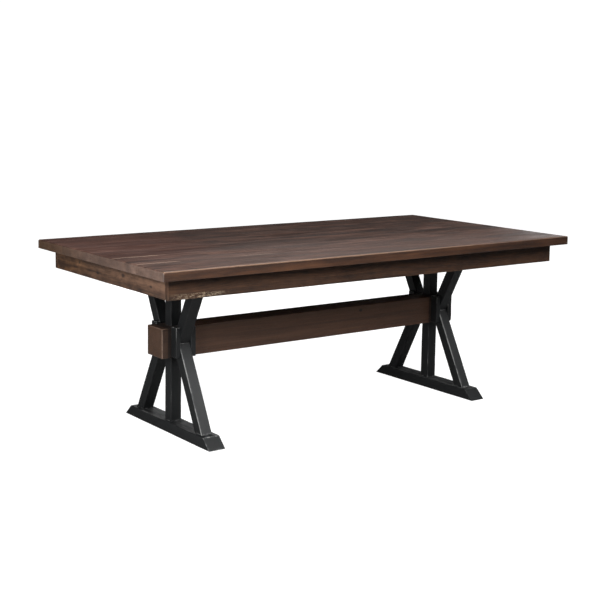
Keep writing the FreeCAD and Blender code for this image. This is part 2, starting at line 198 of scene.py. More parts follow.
class Board:
    """A timber: origin o, width axis U (half size A), depth axis W (half size B), length axis L."""

    def __init__(self, name, node, o, U, W, L, A, B, s0, s1, r=2.2, re=2.0, step=14.0, wide=24.0,
                 lo=None, hi=None, wear=1.0, rough=0.28, worn=0.35, dents=0, seed=0, seg=3,
                 extra_b=(), corner=None):
        self.name, self.node = name, node
        self.o = np.array(o, float)
        self.U, self.W, self.L = (np.array(v, float) for v in (U, W, L))
        self.A, self.B, self.S = A, B, (s1 - s0) / 2.0
        self.o = self.o + self.L * (s0 + s1) / 2.0
        self.lo = lo or (lambda a, b: -self.S + 0 * a)
        self.hi = hi or (lambda a, b: self.S + 0 * a)
        self.seed = seed or (abs(hash_name(name)) % 100000)
        self.wear = wear
        rmax, remax = r * (1 + worn), re * (1 + worn)
        ga = samples(-A, A, wide, rmax, rmax, seg)
        gb = samples(-B, B, wide, rmax, rmax, seg, extra_b)
        gs = samples(-self.S, self.S, step, remax, remax, seg)
        p, quads = shell(ga, gb, gs)
        p = self.shape(p, r, re, worn, rough, dents)
        self.object = mesh_object(name, self.world(p) * MM, quads)

    def shape(self, p, r, re, worn, rough, dents):
        a, b, s = p.T.copy()
        A, B, S = self.A, self.B, self.S
        fa, fb, fs = np.isclose(np.abs(a), A), np.isclose(np.abs(b), B), np.isclose(np.abs(s), S)
        sa, sb, ss = np.sign(a), np.sign(b), np.sign(s)
        local = np.stack([a, b, s], 1)
        n = noise3(local + 1000 * (sa[:, None] * [1, 0, 0] + sb[:, None] * [0, 1, 0]), (60, 60, 75), self.seed)
        n2 = noise3(local, (18, 18, 26), self.seed + 3)
        rr = r * (1 + worn * (0.7 * n + 0.3 * n2))
        ree = re * (1 + worn * (0.7 * n2 + 0.3 * n))
        # small knocks that flatten the arris
        rs = np.random.RandomState(self.seed + 9)
        for _ in range(dents):
            c = np.array([rs.choice([-A, A]), rs.choice([-B, B]), rs.uniform(-S, S)])
            w = rs.uniform(2.5, 8.0)
            d = np.linalg.norm((local - c) / [w, w, w * 1.6], axis=1)
            rr = rr + np.minimum(rs.uniform(0.3, 0.9) * r, 1.4) * np.exp(-d * d)
        rr = np.minimum(rr, r * (1 + worn) * 1.15)
        da, db, ds = A - np.abs(a), B - np.abs(b), S - np.abs(s)
        da, db = round2(da, db, rr)
        da, ds = round2(da, ds, ree)
        db, ds = round2(db, ds, ree)
        u = rough * (0.5 + 0.5 * noise3(local, (55, 55, 130), self.seed + 5))
        u2 = rough * (0.5 + 0.5 * noise3(local, (70, 45, 90), self.seed + 6))
        da = da + np.where(fa, u, 0)
        db = db + np.where(fb, u2, 0)
        ds = ds + np.where(fs, 0.6 * u, 0)
        a = np.where(sa == 0, a, sa * (A - da))
        b = np.where(sb == 0, b, sb * (B - db))
        s = np.where(ss == 0, s, ss * (S - ds))
        return np.stack([a, b, s], 1)

    def world(self, p):
        a, b, s = p.T
        t = (s + self.S) / (2 * self.S)
        s2 = self.lo(a, b) * (1 - t) + self.hi(a, b) * t
        return self.o + a[:, None] * self.U + b[:, None] * self.W + s2[:, None] * self.L

    def attributes(self, tone=0.5, wearw=None):
        me = self.object.data
        co = np.zeros(len(me.vertices) * 3, np.float32)
        me.vertices.foreach_get("co", co)
        q = co.reshape(-1, 3) / MM - self.o
        a, b, s = q @ self.U, q @ self.W, q @ self.L
        end = np.maximum(np.minimum(s - self.lo(a, b), self.hi(a, b) - s), 0)
        rs = np.random.RandomState(self.seed + 1)
        rnd = np.tile([rs.rand(), rs.rand(), tone], (len(a), 1))
        attribute(me, "loc", "FLOAT_VECTOR", np.stack([a, b, s], 1) * MM)
        attribute(me, "half", "FLOAT_VECTOR", np.tile([self.A * MM, self.B * MM, self.S * MM], (len(a), 1)))
        attribute(me, "rnd", "FLOAT_VECTOR", rnd)
        attribute(me, "dend", "FLOAT", end * MM)
        w = self.wear if wearw is None else wearw(co.reshape(-1, 3) / MM)
        attribute(me, "wearw", "FLOAT", np.zeros(len(a)) + w)
        return self

    def done(self, slot, material):
        ob, me = self.object, self.object.data
        me.polygons.foreach_set("use_smooth", np.ones(len(me.polygons), bool))
        me.materials.clear()
        me.materials.append(material)
        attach(ob, "root")
        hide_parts(self.node)
        return ob


def hash_name(s):
    h = 5381
    for c in s:
        h = (h * 33 + ord(c)) & 0x7FFFFFFF
    return h


def cut(board, cutters):
    """Bores holes: cutters is a list of (centre, radius, z0, z1), upright cylinders, mm."""
    bm = bmesh.new()
    for (x, y), r, z0, z1 in cutters:
        m = Matrix.Translation(Vector((x, y, (z0 + z1) / 2)) * MM)
        bmesh.ops.create_cone(bm, cap_ends=True, segments=40, radius1=r * MM, radius2=r * MM,
                              depth=(z1 - z0) * MM, matrix=m)
    me = bpy.data.meshes.new("cutter")
    bm.to_mesh(me)
    bm.free()
    tool = bpy.data.objects.new("cutter", me)
    SCN.collection.objects.link(tool)
    mod = board.object.modifiers.new("bore", "BOOLEAN")
    mod.operation = "DIFFERENCE"
    mod.solver = "EXACT"
    mod.object = tool
    bpy.context.view_layer.update()
    dg = bpy.context.evaluated_depsgraph_get()
    new = bpy.data.meshes.new_from_object(board.object.evaluated_get(dg))
    board.object.modifiers.clear()
    old = board.object.data
    board.object.data = new
    new.name = old.name
    bpy.data.meshes.remove(old)
    bpy.data.objects.remove(tool)
    bpy.data.meshes.remove(me)


# ------------------------------------------------------------------ node graph helper
class Graph:
    def __init__(self, name):
        self.mat = bpy.data.materials.new(name)
        self.mat.use_nodes = True
        self.t = self.mat.node_tree
        self.t.nodes.clear()
        self.out = self.t.nodes.new("ShaderNodeOutputMaterial")
        self.bsdf = self.t.nodes.new("ShaderNodeBsdfPrincipled")
        self.t.links.new(self.bsdf.outputs[0], self.out.inputs[0])

    def put(self, sock, v):
        if isinstance(v, bpy.types.NodeSocket):
            self.t.links.new(v, sock)
        elif v is not None:
            if hasattr(sock, "default_value") and not isinstance(v, (int, float)) and len(v) == 3 \
                    and len(sock.default_value) == 4:
                v = (*v, 1.0)
            sock.default_value = v

    def node(self, kind, **props):
        n = self.t.nodes.new(kind)
        for k, v in props.items():
            setattr(n, k, v)
        return n

    def attr(self, name):
        n = self.node("ShaderNodeAttribute", attribute_name=name)
        n.attribute_type = "GEOMETRY"
        return n

    def m(self, op, a, b=None, c=None, clamp=False):
        n = self.node("ShaderNodeMath", operation=op, use_clamp=clamp)
        for s, v in zip(n.inputs, (a, b, c)):
            self.put(s, v)
        return n.outputs[0]

    def v(self, op, a, b=None):
        n = self.node("ShaderNodeVectorMath", operation=op)
        self.put(n.inputs[0], a)
        if b is not None:
            self.put(n.inputs[1], b)
        return n.outputs["Value" if op in ("DOT_PRODUCT", "LENGTH", "DISTANCE") else "Vector"]

    def xyz(self, x, y, z):
        n = self.node("ShaderNodeCombineXYZ")
        for s, v in zip(n.inputs, (x, y, z)):
            self.put(s, v)
        return n.outputs[0]

    def split(self, vec):
        n = self.node("ShaderNodeSeparateXYZ")
        self.put(n.inputs[0], vec)
        return n.outputs[0], n.outputs[1], n.outputs[2]

    def noise(self, vec, scale=1.0, detail=3.0, rough=0.55, dist=0.0, color=False):
        n = self.node("ShaderNodeTexNoise")
        n.noise_dimensions = "3D"
        self.put(n.inputs["Vector"], vec)
        n.inputs["Scale"].default_value = scale
        n.inputs["Detail"].default_value = detail
        n.inputs["Roughness"].default_value = rough
        n.inputs["Distortion"].default_value = dist
        return n.outputs["Color" if color else "Fac"]

    def step(self, x, lo, hi, a=0.0, b=1.0):
        """Smooth step of x from lo to hi, giving a to b."""
        n = self.node("ShaderNodeMapRange", interpolation_type="SMOOTHSTEP")
        self.put(n.inputs["Value"], x)
        self.put(n.inputs["From Min"], lo)
        self.put(n.inputs["From Max"], hi)
        self.put(n.inputs["To Min"], a)
        self.put(n.inputs["To Max"], b)
        return n.outputs[0]

    def mix(self, f, a, b, mode="MIX"):
        n = self.node("ShaderNodeMix", data_type="RGBA", blend_type=mode)
        n.clamp_factor = True
        self.put(n.inputs[0], f)
        self.put(n.inputs[6], a)
        self.put(n.inputs[7], b)
        return n.outputs[2]

    def ramp(self, f, stops):
        n = self.node("ShaderNodeValToRGB")
        cr = n.color_ramp
        while len(cr.elements) < len(stops):
            cr.elements.new(0.5)
        for e, (p, c) in zip(cr.elements, stops):
            e.position = p
            e.color = (*c, 1.0) if len(c) == 3 else c
        self.put(n.inputs[0], f)
        return n.outputs[0]

    def bump(self, height, dist, strength=1.0, normal=None):
        n = self.node("ShaderNodeBump")
        n.inputs["Strength"].default_value = strength
        n.inputs["Distance"].default_value = dist
        self.put(n.inputs["Height"], height)
        if normal is not None:
            self.put(n.inputs["Normal"], normal)
        return n.outputs[0]

    def base(self, color=None, rough=None, normal=None, **values):
        b = self.bsdf.inputs
        if color is not None:
            self.put(b["Base Color"], color)
        if rough is not None:
            self.put(b["Roughness"], rough)
        if normal is not None:
            self.put(b["Normal"], normal)
        for k, v in values.items():
            b[k.replace("_", " ")].default_value = v
        return self.mat


def board_coords(g, coords):
    """(a, b, s, random vector, distance to the nearest arris, wear weight) for a Board or a CAD node."""
    if coords == "board":
        a, b, s = g.split(g.attr("loc").outputs["Vector"])
        ha, hb, _ = g.split(g.attr("half").outputs["Vector"])
        rnd = g.attr("rnd").outputs["Vector"]
        de = g.attr("dend").outputs["Fac"]
        da = g.m("SUBTRACT", ha, g.m("ABSOLUTE", a))
        db = g.m("SUBTRACT", hb, g.m("ABSOLUTE", b))
        edge = g.m("MAXIMUM", g.m("MINIMUM", da, db), g.m("MINIMUM", g.m("MAXIMUM", da, db), de))
        return a, b, s, rnd, edge, g.attr("wearw").outputs["Fac"], de
    tc = g.node("ShaderNodeTexCoord")
    x, y, z = g.split(tc.outputs["Object"])
    a, b, s = {"X": (y, z, x), "Y": (x, z, y), "Z": (x, y, z)}[coords]
    return a, b, s, None, None, None, None


def wood(name, dark, mid, light, worn, coords="board", ring_mm=4.2, contrast=1.0, rough=(0.42, 0.6),
         spec=0.3, wear_mm=2.2, wear_amount=1.0, knots=(), streaks=(), rnd_const=(0.3, 0.6, 0.5),
         tone_range=(0.86, 1.14), pith=(0.05, 0.12), speckle=None, sawn=0.0, coat=0.0, bump_k=1.0,
         slab=False, wear_noise=(2.2, 0.9, 0.9), patch=0.0, mottle=0.0, painted_face_light=(), end_dark=None,
         broad=0.0, sheen_var=0.0, hub_shadow=None, ring_k=0.30, painted_back_shading=None, fade=None, sheen_and_tone_patches=()):
    """Stained timber. Each entry of the face-light list is (axis, colour, calm): faces square to that axis show less
    figure by the share calm and are multiplied by the colour, a painted lightening or darkening of those faces for how
    the light falls on them."""
    g = Graph(name)
    a, b, s, rnd, edge, wearw, dend = board_coords(g, coords)
    if slab:
        # the planks wear only along the outer arrises of the whole top, not along their glue lines
        px, py, pz = g.split(g.node("ShaderNodeTexCoord").outputs["Object"])
        d_x = g.m("SUBTRACT", HX * MM, g.m("ABSOLUTE", px))
        d_y = g.m("SUBTRACT", HY * MM, g.m("ABSOLUTE", py))
        d_z = g.m("MINIMUM", g.m("SUBTRACT", TOP_Z * MM, pz), g.m("SUBTRACT", pz, UNDER * MM))
        edge = g.m("MAXIMUM", g.m("MINIMUM", d_x, d_y), g.m("MINIMUM", g.m("MAXIMUM", d_x, d_y), d_z))
    if rnd is None:
        r1, r2, tone = rnd_const
        off = g.xyz(r1 * 37.0, r2 * 53.0, 0.0)
    else:
        r1, r2, tone = g.split(rnd)
        off = g.v("MULTIPLY", rnd, (37.0, 53.0, 11.0))

    def at(ka, kb, ks, shift=0.0):
        p = g.xyz(g.m("MULTIPLY", a, ka), g.m("MULTIPLY", b, kb), g.m("MULTIPLY", s, ks))
        p = g.v("ADD", p, off)
        return g.v("ADD", p, (shift, shift * 0.7, -shift * 0.4)) if shift else p

    # knots: each (s, a, radius) in metres bends the rings round it and darkens its core
    knot_core, knot_bend = None, None
    for ks_, ka_, kr in knots:
        dx = g.m("MULTIPLY", g.m("SUBTRACT", s, ks_), 0.62)
        dy = g.m("SUBTRACT", a, ka_)
        d = g.m("SQRT", g.m("ADD", g.m("MULTIPLY", dx, dx), g.m("MULTIPLY", dy, dy)))
        bend = g.m("POWER", 2.718, g.m("MULTIPLY", g.m("POWER", g.m("DIVIDE", d, kr * 3.2), 2.0), -1.0))
        bend = g.m("MULTIPLY", bend, kr * 1.1)
        core = g.step(g.m("ADD", d, g.m("MULTIPLY", g.noise(at(220, 220, 160), 1.0, 2.0), kr * 0.7)),
                      kr * 1.45, kr * 0.75)
        knot_core = core if knot_core is None else g.m("MAXIMUM", knot_core, core)
        knot_bend = bend if knot_bend is None else g.m("ADD", knot_bend, bend)

    # growth rings round a pith that wanders slowly along the board
    wander = g.noise(at(0.0, 0.0, 1.1), 1.0, 2.0, 0.5, color=True)
    wx, wy, _ = g.split(wander)
    a0 = g.m("ADD", g.m("MULTIPLY", g.m("SUBTRACT", r1, 0.5), 0.10),
             g.m("MULTIPLY", g.m("SUBTRACT", wx, 0.5), 0.09))
    b0 = g.m("SUBTRACT", g.m("MULTIPLY", g.m("SUBTRACT", wy, 0.5), 0.07),
             g.m("MULTIPLY_ADD", r2, pith[1] - pith[0], pith[0]))
    ax, bx = g.m("SUBTRACT", a, a0), g.m("SUBTRACT", b, b0)
    rho = g.m("SQRT", g.m("ADD", g.m("MULTIPLY", ax, ax), g.m("MULTIPLY", bx, bx)))
    wob = g.noise(at(26, 26, 3.2, 3.0), 1.0, 3.0, 0.55)
    rho = g.m("ADD", rho, g.m("MULTIPLY", g.m("SUBTRACT", wob, 0.5), 0.0075))
    if knot_bend is not None:
        rho = g.m("ADD", rho, knot_bend)
    ringpos = g.m("DIVIDE", rho, ring_mm * MM)
    fr = g.m("FRACT", ringpos)
    # slow rise into latewood, quick fall
    late = g.m("MULTIPLY", g.step(fr, 0.25, 0.86), g.step(fr, 1.0, 0.9))
    which = g.noise(g.xyz(g.m("FLOOR", ringpos), r1, 0.0), 0.71, 0.0)
    late = g.m("MULTIPLY", late, g.m("MULTIPLY_ADD", which, 1.1, 0.25))

    streak = g.noise(at(38, 38, 1.3, 7.0), 1.0, 3.0, 0.6)
    streak2 = g.noise(at(150, 150, 4.5, 13.0), 1.0, 3.0, 0.6)
    fibre = g.noise(at(620, 620, 17, 1.0), 1.0, 3.0, 0.65)
    pores = g.noise(at(1250, 1250, 46, 5.0), 1.0, 1.0, 0.5)
    pore = g.step(pores, 0.60, 0.72)
    blotch = g.noise(at(9, 9, 2.4, 21.0), 1.0, 2.0, 0.5)

    k = contrast
    f = g.m("ADD", 0.5, g.m("MULTIPLY", g.m("SUBTRACT", streak, 0.5), 1.15 * k))
    f = g.m("ADD", f, g.m("MULTIPLY", g.m("SUBTRACT", streak2, 0.5), 0.75 * k))
    f = g.m("ADD", f, g.m("MULTIPLY", g.m("SUBTRACT", fibre, 0.5), 0.42 * k))
    f = g.m("ADD", f, g.m("MULTIPLY", g.m("SUBTRACT", blotch, 0.5), 0.55 * k))
    if patch:
        # stain taken unevenly in flecks a hand long
        fleck = g.noise(at(25, 25, 6.5, 57.0), 1.0, 2.0, 0.6)
        f = g.m("ADD", f, g.m("MULTIPLY", g.m("SUBTRACT", fleck, 0.5), patch))
    if broad:
        # wide bands of deeper and paler stain along the boards
        band = g.noise(at(13, 13, 1.9, 91.0), 1.0, 2.0, 0.5)
        f = g.m("ADD", f, g.m("MULTIPLY", g.m("SUBTRACT", band, 0.5), broad))
    if mottle:
        cloud = g.noise(at(34, 34, 19, 77.0), 1.0, 3.0, 0.6)
        f = g.m("ADD", f, g.m("MULTIPLY", g.m("SUBTRACT", cloud, 0.5), mottle))
    f = g.m("SUBTRACT", f, g.m("MULTIPLY", late, ring_k * k))
    f = g.m("SUBTRACT", f, g.m("MULTIPLY", pore, 0.16 * k), clamp=True)
    col = g.ramp(f, [(0.0, dark), (0.5, mid), (1.0, light)])
    tone_v = g.m("MULTIPLY_ADD", tone, tone_range[1] - tone_range[0], tone_range[0])
    col = g.mix(1.0, col, g.xyz(tone_v, tone_v, tone_v), "MULTIPLY")
    if knot_core is not None:
        col = g.mix(g.m("MULTIPLY", knot_core, 0.8), col, tuple(c * 0.25 for c in dark))
    # painted light: faces square to the given axis are lightened or darkened by the colour, standing in for how the
    # light falls on them (the top's end faces paler and bluer for the sheen on them)
    if painted_face_light:
        nrm3 = g.split(g.node("ShaderNodeNewGeometry").outputs["True Normal"])
        for axis, tint, calm in painted_face_light:
            on = g.step(g.m("ABSOLUTE", nrm3[axis]), 0.72, 0.95)
            even = g.mix(calm, col, tuple(c * 1.04 for c in mid))
            col = g.mix(on, col, g.mix(1.0, even, tint, "MULTIPLY"))
            if painted_back_shading is not None:
                # painted light falloff: on the tinted faces the colour changes towards the back, darker and redder on
                # the top's end faces and lighter and redder on the left apron, following how the light falls along them
                y_lo, y_hi, factor = painted_back_shading
                py = g.split(g.node("ShaderNodeTexCoord").outputs["Object"])[1]
                far = g.m("MULTIPLY", on, g.step(py, y_lo, y_hi))
                col = g.mix(far, col, g.mix(1.0, col, factor, "MULTIPLY"))
    # painted shade: the colour is multiplied down between x_lo and x_hi, for the light falling off towards the right
    if fade is not None:
        x_lo, x_hi, factor = fade
        px = g.split(g.node("ShaderNodeTexCoord").outputs["Object"])[0]
        col = g.mix(g.step(px, x_lo, x_hi), col, g.mix(1.0, col, factor, "MULTIPLY"))
    for x0, y0, rx, ry, amount, colour in sheen_and_tone_patches:
        # painted sheen: each entry mixes the top towards its colour over an uneven patch; the pale grey one near the
        # front stands in for the gloss of the finish, the other makes the back left redder
        px, py, pz = g.split(g.node("ShaderNodeTexCoord").outputs["Object"])
        ex, ey = g.m("DIVIDE", g.m("SUBTRACT", px, x0), rx), g.m("DIVIDE", g.m("SUBTRACT", py, y0), ry)
        reach = g.m("ADD", g.m("MULTIPLY", ex, ex), g.m("MULTIPLY", ey, ey))
        reach = g.m("ADD", reach, g.m("MULTIPLY", g.m("SUBTRACT", blotch, 0.5), 0.8))
        patch_mask = g.m("MULTIPLY", g.step(reach, 1.0, 0.05), g.step(pz, 0.766, 0.767))
        col = g.mix(g.m("MULTIPLY", patch_mask, amount), col, colour)
    if end_dark is not None:
        reach, factor = end_dark
        on = g.step(dend, reach * 1.35, reach * 0.65)
        col = g.mix(on, col, g.mix(1.0, col, factor, "MULTIPLY"))
    h = g.m("ADD", g.m("MULTIPLY", late, -0.5), g.m("MULTIPLY", fibre, 0.6))
    h = g.m("SUBTRACT", h, g.m("MULTIPLY", pore, 0.9))
    if sawn:
        saw = g.node("ShaderNodeTexWave", wave_type="BANDS", bands_direction="Z")
        g.put(saw.inputs["Vector"], at(1.5, 1.5, 1.0))
        saw.inputs["Scale"].default_value = 46.0
        saw.inputs["Distortion"].default_value = 2.5
        saw.inputs["Detail"].default_value = 2.0
        saw.inputs["Detail Scale"].default_value = 1.6
        h = g.m("ADD", h, g.m("MULTIPLY", saw.outputs["Fac"], sawn))

    ro = g.m("MULTIPLY_ADD", streak2, (rough[1] - rough[0]), rough[0])
    ro = g.m("ADD", ro, g.m("MULTIPLY", pore, 0.12))
    if sheen_var:
        # the finish lies thinner in flecks and bands, which shine less
        thin = g.noise(at(19, 19, 4.2, 117.0), 1.0, 2.0, 0.6)
        ro = g.m("ADD", ro, g.m("MULTIPLY", g.m("SUBTRACT", thin, 0.5), sheen_var))

    for x0, x1, y0, half_w, amount, color in streaks:
        tc = g.node("ShaderNodeTexCoord")
        px, py, pz = g.split(tc.outputs["Object"])
        run = g.m("MULTIPLY", g.step(px, x0 - 0.02, x0 + 0.05), g.step(px, x1 + 0.02, x1 - 0.06))
        wavy = g.m("MULTIPLY", g.m("SUBTRACT", g.noise(g.xyz(px, y0, 0.0), 5.0, 2.0), 0.5), 0.006)
        off_y = g.m("ABSOLUTE", g.m("SUBTRACT", g.m("ADD", py, wavy), y0))
        across = g.step(off_y, half_w, half_w * 0.15)
        broken = g.step(g.noise(g.xyz(g.m("MULTIPLY", px, 26.0), g.m("MULTIPLY", py, 200.0), 0.0), 1.0, 3.0), 0.36, 0.6)
        up = g.step(pz, 0.766, 0.767)
        msk = g.m("MULTIPLY", g.m("MULTIPLY", g.m("MULTIPLY", run, across), g.m("MULTIPLY_ADD", broken, 0.65, 0.35)),
                  g.m("MULTIPLY", up, amount))
        col = g.mix(msk, col, color)

    if edge is not None:
        n1 = g.noise(at(90, 90, 16, 31.0), 1.0, 3.0, 0.6)
        n2 = g.noise(at(420, 420, 130, 41.0), 1.0, 2.0, 0.6)
        vary, mean, fine_k = wear_noise
        lim = g.m("MULTIPLY", g.m("MULTIPLY_ADD", g.m("SUBTRACT", n1, 0.5), vary, mean), wear_mm * MM)
        lim = g.m("MULTIPLY", g.m("MAXIMUM", lim, 0.0), wearw)
        lim = g.m("MULTIPLY", lim, g.m("MULTIPLY_ADD", n2, fine_k, 1.0 - fine_k / 2.0))
        wearm = g.step(g.m("SUBTRACT", edge, lim), 0.0006, -0.0004)
        wearm = g.m("MULTIPLY", wearm, wear_amount)
        wearcol = g.mix(fibre, worn, tuple(c * 0.62 for c in worn))
        col = g.mix(wearm, col, wearcol)
        ro = g.m("ADD", ro, g.m("MULTIPLY", wearm, 0.12))
        h = g.m("SUBTRACT", h, g.m("MULTIPLY", wearm, 0.5))
    if speckle is not None:
        # rough-sawn lower edge: pale torn fibres in a band, for part of the length
        s_lo, s_hi, band, color = speckle
        tc = g.node("ShaderNodeTexCoord")
        px, py, pz = g.split(tc.outputs["Object"])
        run = g.m("MULTIPLY", g.step(px, s_lo - 0.03, s_lo + 0.02), g.step(px, s_hi + 0.07, s_hi - 0.05))
        zb = g.m("ADD", pz, g.m("MULTIPLY", g.m("SUBTRACT", g.noise(at(30, 30, 9), 1.0, 2.0), 0.5), 0.012))
        inband = g.m("MULTIPLY", g.step(zb, band[1], band[1] - 0.006), g.step(pz, band[0] - 0.001, band[0] + 0.003))
        chips = g.step(g.noise(g.xyz(g.m("MULTIPLY", px, 70.0), g.m("MULTIPLY", py, 90.0), g.m("MULTIPLY", pz, 170.0)),
                               1.0, 2.0, 0.6), 0.42, 0.54)
        torn = g.step(g.noise(g.xyz(g.m("MULTIPLY", px, 210.0), g.m("MULTIPLY", py, 260.0), g.m("MULTIPLY", pz, 560.0)),
                              1.0, 3.0, 0.65), 0.45, 0.56)
        chips = g.m("MULTIPLY", chips, torn)
        thick = g.step(px, s_lo, s_lo + 0.17, 0.25, 1.0)
        msk = g.m("MULTIPLY", g.m("MULTIPLY", g.m("MULTIPLY", run, inband), chips), thick)
        col = g.mix(g.m("MULTIPLY", msk, 0.78), col, color)
        h = g.m("SUBTRACT", h, g.m("MULTIPLY", msk, 2.0))
    if hub_shadow is not None:
        # painted shadow: the beam is darkened in a strip on either side of each hub, standing in for the shadow the
        # hub's cheeks cast on it
        px = g.split(g.node("ShaderNodeTexCoord").outputs["Object"])[0]
        off_x = g.m("ABSOLUTE", g.m("SUBTRACT", g.m("ABSOLUTE", px), TX * MM))
        wavy = g.m("MULTIPLY", g.m("SUBTRACT", g.noise(at(60, 60, 60, 9.0), 1.0, 2.0), 0.5), 0.003)
        near = g.step(g.m("ADD", off_x, wavy), (CHEEK_T["outer"] + BRACE_W / 2 + 17.0) * MM,
                      (CHEEK_T["outer"] + BRACE_W / 2 + 13.0) * MM)
        col = g.mix(near, col, g.mix(1.0, col, (hub_shadow, hub_shadow * 1.05, hub_shadow * 1.15), "MULTIPLY"))
    nrm = g.bump(h, 0.00045 * bump_k, 0.8)
    return g.base(col, g.m("MINIMUM", ro, 1.0), nrm, Specular_IOR_Level=spec, Coat_Weight=coat,
                  Coat_Roughness=0.25)


def paint(name):
    g = Graph(name)
    a, b, s, rnd, edge, wearw, dend = board_coords(g, "board")
    off = g.v("MULTIPLY", rnd, (17.0, 29.0, 41.0))

    def at(ka, kb, ks, shift=0.0):
        p = g.xyz(g.m("MULTIPLY", a, ka), g.m("MULTIPLY", b, kb), g.m("MULTIPLY", s, ks))
        return g.v("ADD", g.v("ADD", p, off), (shift, shift * 0.6, -shift))
    cloud = g.noise(at(14, 14, 5), 1.0, 3.0, 0.55)
    grain = g.noise(at(260, 260, 9, 3.0), 1.0, 3.0, 0.6)
    fine = g.noise(at(900, 900, 60, 7.0), 1.0, 2.0, 0.6)
    dust = g.step(g.noise(at(700, 700, 600, 11.0), 1.0, 2.0, 0.5), 0.66, 0.78)
    f = g.m("ADD", g.m("MULTIPLY", cloud, 0.55), g.m("MULTIPLY", grain, 0.45), clamp=True)
    col = g.ramp(f, [(0.25, (0.0009, 0.00125, 0.0016)), (0.55, (0.0015, 0.0021, 0.0026)), (0.85, (0.0028, 0.0038, 0.0047))])
    col = g.mix(g.m("MULTIPLY", dust, 0.3), col, (0.045, 0.049, 0.052))
    n1 = g.noise(at(75, 75, 13, 31.0), 1.0, 3.0, 0.65)
    n2 = g.noise(at(520, 520, 160, 41.0), 1.0, 2.0, 0.6)
    lim = g.m("MULTIPLY", g.m("MULTIPLY_ADD", g.m("SUBTRACT", n1, 0.5), 3.6, 0.55), 0.0019)
    lim = g.m("MULTIPLY", g.m("MAXIMUM", lim, 0.0), wearw)
    lim = g.m("MULTIPLY", lim, g.m("MULTIPLY_ADD", n2, 1.2, 0.4))
    wearm = g.step(g.m("SUBTRACT", edge, lim), 0.0006, -0.0004)
    # a paler grey band round the worn arrises: partly worn paint, partly a painted highlight along the edges
    wear_and_highlight_band = g.step(g.m("SUBTRACT", edge, g.m("MULTIPLY", lim, 2.2)), 0.004, -0.001)
    col = g.mix(g.m("MULTIPLY", g.m("MULTIPLY", wear_and_highlight_band, wearw), 0.22), col, (0.034, 0.037, 0.039))
    # dust and thin paint gathered where the timbers stand on the foot beam
    pz = g.split(g.node("ShaderNodeTexCoord").outputs["Object"])[2]
    ledge = g.m("MULTIPLY", g.step(pz, 0.0545, 0.0475), g.step(pz, 0.0455, 0.0468))
    ledge = g.m("MULTIPLY", ledge, g.step(n1, 0.44, 0.56))
    col = g.mix(g.m("MULTIPLY", ledge, 0.5), col, (0.085, 0.086, 0.086))
    col = g.mix(g.m("MULTIPLY", wearm, 0.9), col, g.mix(n2, (0.22, 0.22, 0.215), (0.12, 0.12, 0.118)))
    h = g.m("ADD", g.m("MULTIPLY", grain, 0.9), g.m("MULTIPLY", fine, 0.35))
    h = g.m("SUBTRACT", h, g.m("MULTIPLY", wearm, 0.7))
    ro = g.m("ADD", g.m("MULTIPLY_ADD", cloud, 0.16, 0.44), g.m("MULTIPLY", grain, 0.10))
    nrm = g.bump(h, 0.00035, 0.7)
    return g.base(col, ro, nrm, Specular_IOR_Level=0.39)


def steel(name):
    g = Graph(name)
    tc = g.node("ShaderNodeTexCoord").outputs["Object"]
    n = g.noise(tc, 900.0, 3.0)
    n2 = g.noise(tc, 160.0, 2.0)
    col = g.ramp(n2, [(0.3, (0.34, 0.33, 0.31)), (0.7, (0.5, 0.49, 0.46))])
    return g.base(col, g.m("MULTIPLY_ADD", n, 0.3, 0.3), g.bump(n, 0.0001, 0.6), Metallic=1.0)


def plain(name, c0, c1, scale, rough, spec=0.3):
    g = Graph(name)
    tc = g.node("ShaderNodeTexCoord").outputs["Object"]
    n = g.noise(tc, scale, 3.0)
    return g.base(g.ramp(n, [(0.3, c0), (0.7, c1)]), g.m("MULTIPLY_ADD", n, 0.2, rough), g.bump(n, 0.0001, 0.5),
                  Specular_IOR_Level=spec)


# ------------------------------------------------------------------ materials
TOP_LIGHT = (0.26, 0.165, 0.115)
top_streaks = [
    (-1.067, -0.830, -0.148, 0.0085, 1.0, (0.24, 0.165, 0.118)),
    (-1.067, -0.870, -0.332, 0.0080, 1.0, (0.24, 0.165, 0.118)),
    (-0.660, -0.420, -0.332, 0.0055, 0.60, (0.26, 0.19, 0.14)),
    (0.200, 0.340, -0.308, 0.0035, 0.50, (0.22, 0.17, 0.14)),
    (-0.020, 0.207, 0.130, 0.0040, 0.35, (0.20, 0.15, 0.13)),
    (0.340, 0.740, -0.016, 0.0040, 0.35, (0.20, 0.15, 0.13)),
    (-0.420, -0.127, -0.432, 0.0035, 0.40, (0.22, 0.17, 0.14)),
    (-1.060, -0.530, 0.204, 0.0060, 0.50, (0.030, 0.018, 0.014)),
    (0.000, 0.650, 0.236, 0.0060, 0.45, (0.030, 0.018, 0.014)),
    (-0.127, 0.207, -0.090, 0.0060, 0.40, (0.030, 0.018, 0.014)),
    (0.210, 0.330, -0.298, 0.0040, 0.40, (0.028, 0.018, 0.014)),
]
TOP_KW = dict(ring_mm=4.6, contrast=1.35, wear_mm=4.7, slab=True, wear_noise=(0.9, 1.0, 0.35),
              tone_range=(0.66, 1.34), patch=1.2, broad=1.2)
M_TOP = wood("top_wood", (0.0128, 0.0056, 0.0037), (0.0429, 0.0197, 0.0130), (0.0940, 0.0470, 0.0330), (0.124, 0.065, 0.036),
             # painted sheen: the top's end faces are made paler and bluer
             rough=(0.36, 0.58), spec=0.65, streaks=top_streaks, painted_face_light=((0, (1.50, 1.86, 1.98), 0.58),),
             # painted shade: the top's end faces turn darker and redder towards the back
             painted_back_shading=(0.0, 0.46, (0.95, 0.77, 0.45)), sheen_var=0.34,
             # a painted sheen near the front of the top, and a redder patch at the back left
             sheen_and_tone_patches=((-0.10, -0.42, 1.05, 0.46, 0.34, (0.093, 0.067, 0.059)),
                   (-0.92, 0.25, 0.50, 0.60, 0.30, (0.088, 0.028, 0.018))), **TOP_KW)
